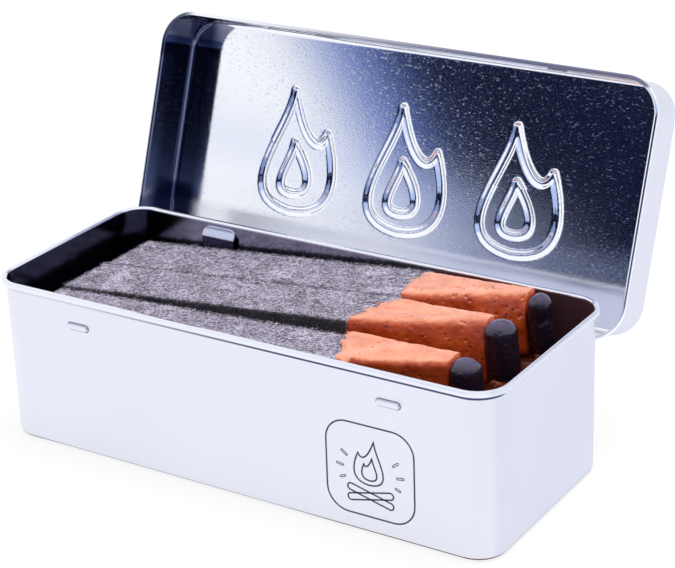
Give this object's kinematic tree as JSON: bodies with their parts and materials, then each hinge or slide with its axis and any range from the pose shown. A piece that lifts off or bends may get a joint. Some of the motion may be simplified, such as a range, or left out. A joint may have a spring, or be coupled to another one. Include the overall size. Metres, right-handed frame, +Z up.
{
  "type": "hinged tinder tin",
  "caption": "Rectangular drawn tin with a strap-hinged lid, open on a stack of dipped tinder sticks that rest their heads on a striker block.",
  "frame": {"origin": "middle of the tin's flat underside", "axes": "+X along the tin towards the stick heads, +Y towards the hinge, +Z up out of the mouth"},
  "size_m": [0.109, 0.0714, 0.0683],
  "materials": {
    "body_tinplate": "satin",
    "lid_tinplate": "satin",
    "strap_steel": "satin",
    "striker_board": "matte",
    "striker_grit": "rough",
    "stick_felt": "matte",
    "stick_coat": "satin",
    "stick_tip": "gloss"
  },
  "bodies": {
    "tin": {"tin_body": "body_tinplate", "hinge_strap_left": "strap_steel", "hinge_strap_right": "strap_steel", "striker_block": "striker_board", "striker_surface": "striker_grit"},
    "lid": {"lid_shell": "lid_tinplate"},
    "lower_front_stick": {"lower_front_felt_core": "stick_felt", "lower_front_head_coat": "stick_coat", "lower_front_striking_tip": "stick_tip"},
    "lower_middle_stick": {"lower_middle_felt_core": "stick_felt", "lower_middle_head_coat": "stick_coat", "lower_middle_striking_tip": "stick_tip"},
    "lower_rear_stick": {"lower_rear_felt_core": "stick_felt", "lower_rear_head_coat": "stick_coat", "lower_rear_striking_tip": "stick_tip"},
    "upper_front_stick": {"upper_front_felt_core": "stick_felt", "upper_front_head_coat": "stick_coat", "upper_front_striking_tip": "stick_tip"},
    "upper_middle_stick": {"upper_middle_felt_core": "stick_felt", "upper_middle_head_coat": "stick_coat", "upper_middle_striking_tip": "stick_tip"},
    "upper_rear_stick": {"upper_rear_felt_core": "stick_felt", "upper_rear_head_coat": "stick_coat", "upper_rear_striking_tip": "stick_tip"}
  },
  "joints": [
    {"name": "lid_hinge", "type": "hinge", "parent": "tin", "child": "lid", "pos_m": [0, 0.0233, 0.0233], "axis": [-1, 0, 0], "range_deg": [-110, 0]},
    {"name": "lower_front_lift", "type": "slide", "parent": "tin", "child": "lower_front_stick", "axis": [0, 0, 1], "range_m": [0, 0.045]},
    {"name": "lower_middle_lift", "type": "slide", "parent": "tin", "child": "lower_middle_stick", "axis": [0, 0, 1], "range_m": [0, 0.045]},
    {"name": "lower_rear_lift", "type": "slide", "parent": "tin", "child": "lower_rear_stick", "axis": [0, 0, 1], "range_m": [0, 0.045]},
    {"name": "upper_front_lift", "type": "slide", "parent": "lower_front_stick", "child": "upper_front_stick", "axis": [0, 0, 1], "range_m": [0, 0.03]},
    {"name": "upper_middle_lift", "type": "slide", "parent": "lower_middle_stick", "child": "upper_middle_stick", "axis": [0, 0, 1], "range_m": [0, 0.03]},
    {"name": "upper_rear_lift", "type": "slide", "parent": "lower_rear_stick", "child": "upper_rear_stick", "axis": [0, 0, 1], "range_m": [0, 0.03]}
  ]
}
